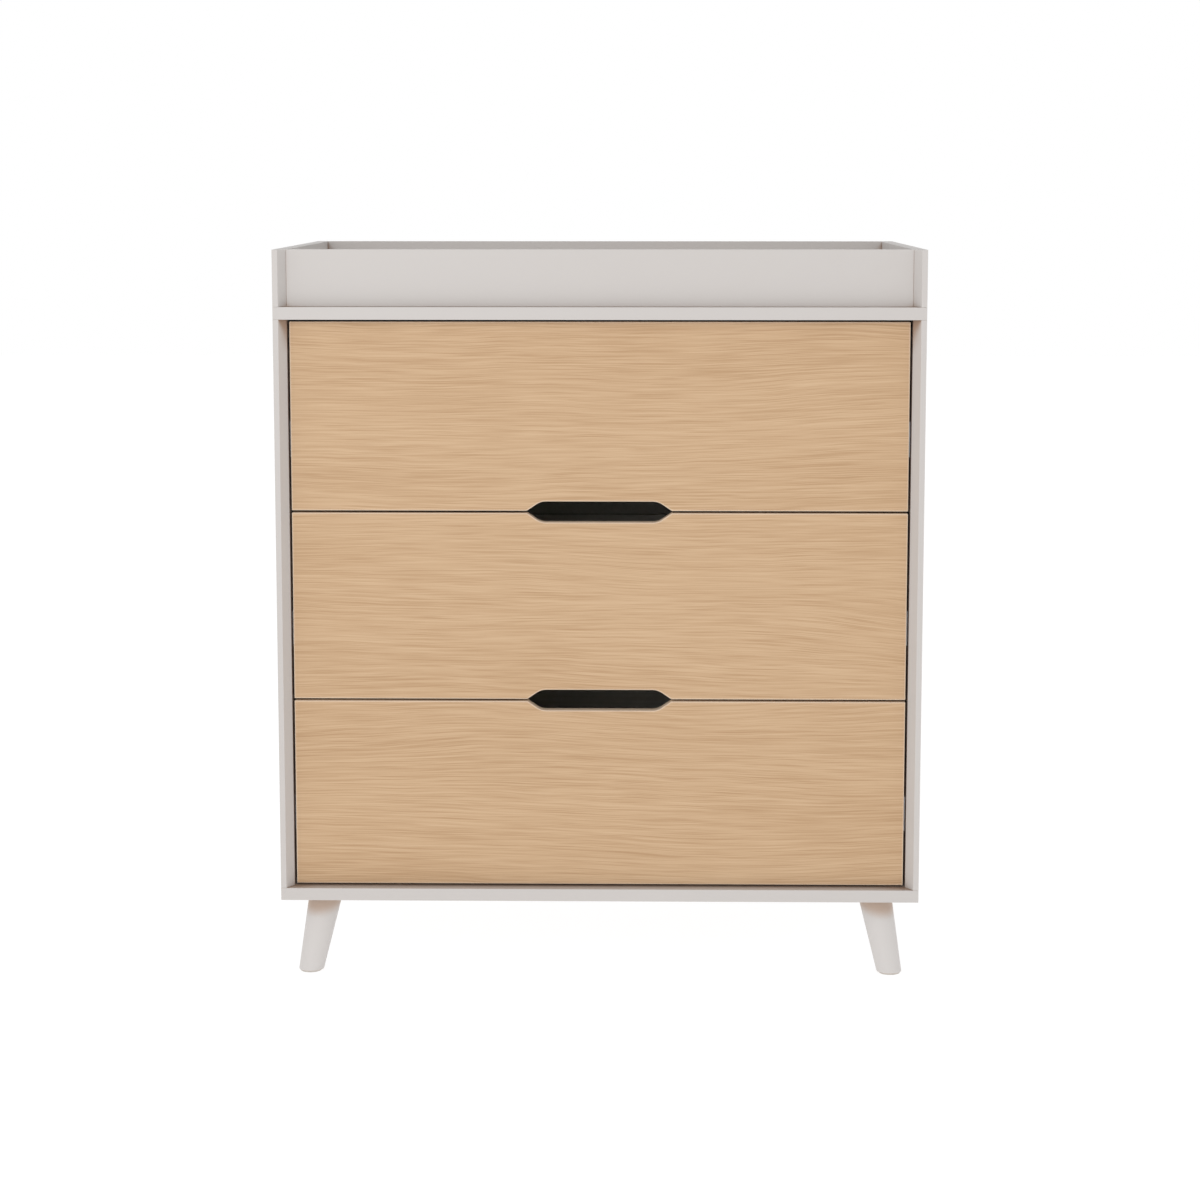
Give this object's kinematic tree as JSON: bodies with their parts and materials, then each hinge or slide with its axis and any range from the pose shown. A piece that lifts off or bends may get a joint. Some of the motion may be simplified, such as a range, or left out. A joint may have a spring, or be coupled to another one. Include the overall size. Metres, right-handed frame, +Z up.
{
  "type": "changing table",
  "caption": "Dresser changing table: drawers with finger slots in a painted carcass on splayed legs, with a raised open tray on top that holds a changing mat.",
  "frame": {"origin": "on the floor, at the centre of the footprint", "axes": "+Z up; -Y is the way the drawer fronts face; +X is to the right of a person in front"},
  "size_m": [0.824, 0.48, 0.945],
  "materials": {
    "sand_paint": "satin warm off-white paint on board and on the turned legs",
    "oak_veneer": "matt lacquered oak veneer, grain left to right",
    "drawer_board": "pale foil on 12 mm board",
    "hardboard": "thin hardboard with a pale printed face",
    "beech_dowel": "bare beech",
    "runner_steel": "zinc-plated rolled steel",
    "zinc_hardware": "zinc-plated",
    "plate_steel": "zinc-plated pressed steel",
    "bracket_steel": "white powder coat",
    "glide_plastic": "grey-beige polyethylene"
  },
  "bodies": {
    "carcass": {"anti_tip_brackets": "bracket_steel", "anti_tip_screws": "zinc_hardware", "back_panel": "hardboard", "bottom_panel": "sand_paint", "bottom_runner_cabinet_members": "runner_steel", "cam_bolts": "zinc_hardware", "cam_locks": "zinc_hardware", "carcass_dowels": "beech_dowel", "foot_glides": "glide_plastic", "front_left_leg": "sand_paint", "front_right_leg": "sand_paint", "left_side_panel": "sand_paint", "leg_bolts": "zinc_hardware", "leg_plate_screws": "zinc_hardware", "leg_plates": "plate_steel", "middle_runner_cabinet_members": "runner_steel", "rear_left_leg": "sand_paint", "rear_rail": "sand_paint", "rear_right_leg": "sand_paint", "right_side_panel": "sand_paint", "runner_screws": "zinc_hardware", "top_panel": "sand_paint", "top_runner_cabinet_members": "runner_steel", "tray_back_board": "sand_paint", "tray_dowels": "beech_dowel", "tray_front_board": "sand_paint", "tray_left_board": "sand_paint", "tray_right_board": "sand_paint", "tray_screws": "zinc_hardware"},
    "bottom_drawer": {"bottom_drawer_back": "drawer_board", "bottom_drawer_back_screws": "zinc_hardware", "bottom_drawer_bottom": "hardboard", "bottom_drawer_cams": "zinc_hardware", "bottom_drawer_front": "oak_veneer", "bottom_drawer_left_side": "drawer_board", "bottom_drawer_right_side": "drawer_board", "bottom_drawer_runner_screws": "zinc_hardware", "bottom_runner_drawer_members": "runner_steel"},
    "bottom_runner_middle": {"bottom_runner_middle_members": "runner_steel"},
    "middle_drawer": {"middle_drawer_back": "drawer_board", "middle_drawer_back_screws": "zinc_hardware", "middle_drawer_bottom": "hardboard", "middle_drawer_cams": "zinc_hardware", "middle_drawer_front": "oak_veneer", "middle_drawer_left_side": "drawer_board", "middle_drawer_right_side": "drawer_board", "middle_drawer_runner_screws": "zinc_hardware", "middle_runner_drawer_members": "runner_steel"},
    "middle_runner_middle": {"middle_runner_middle_members": "runner_steel"},
    "top_drawer": {"top_drawer_back": "drawer_board", "top_drawer_back_screws": "zinc_hardware", "top_drawer_bottom": "hardboard", "top_drawer_cams": "zinc_hardware", "top_drawer_front": "oak_veneer", "top_drawer_left_side": "drawer_board", "top_drawer_right_side": "drawer_board", "top_drawer_runner_screws": "zinc_hardware", "top_runner_drawer_members": "runner_steel"},
    "top_runner_middle": {"top_runner_middle_members": "runner_steel"}
  },
  "joints": [
    {"name": "bottom_drawer_slide", "type": "slide", "parent": "carcass", "child": "bottom_drawer", "axis": [0, -1, 0], "range_m": [0, 0.35]},
    {"name": "bottom_runner_slide", "type": "slide", "parent": "carcass", "child": "bottom_runner_middle", "axis": [0, -1, 0], "range_m": [0, 0.175]},
    {"name": "middle_drawer_slide", "type": "slide", "parent": "carcass", "child": "middle_drawer", "axis": [0, -1, 0], "range_m": [0, 0.35]},
    {"name": "middle_runner_slide", "type": "slide", "parent": "carcass", "child": "middle_runner_middle", "axis": [0, -1, 0], "range_m": [0, 0.175]},
    {"name": "top_drawer_slide", "type": "slide", "parent": "carcass", "child": "top_drawer", "axis": [0, -1, 0], "range_m": [0, 0.35]},
    {"name": "top_runner_slide", "type": "slide", "parent": "carcass", "child": "top_runner_middle", "axis": [0, -1, 0], "range_m": [0, 0.175]}
  ],
  "couplings": [
    {"joint": "bottom_runner_slide", "follows": "bottom_drawer_slide", "ratio": 0.5},
    {"joint": "middle_runner_slide", "follows": "middle_drawer_slide", "ratio": 0.5},
    {"joint": "top_runner_slide", "follows": "top_drawer_slide", "ratio": 0.5}
  ]
}
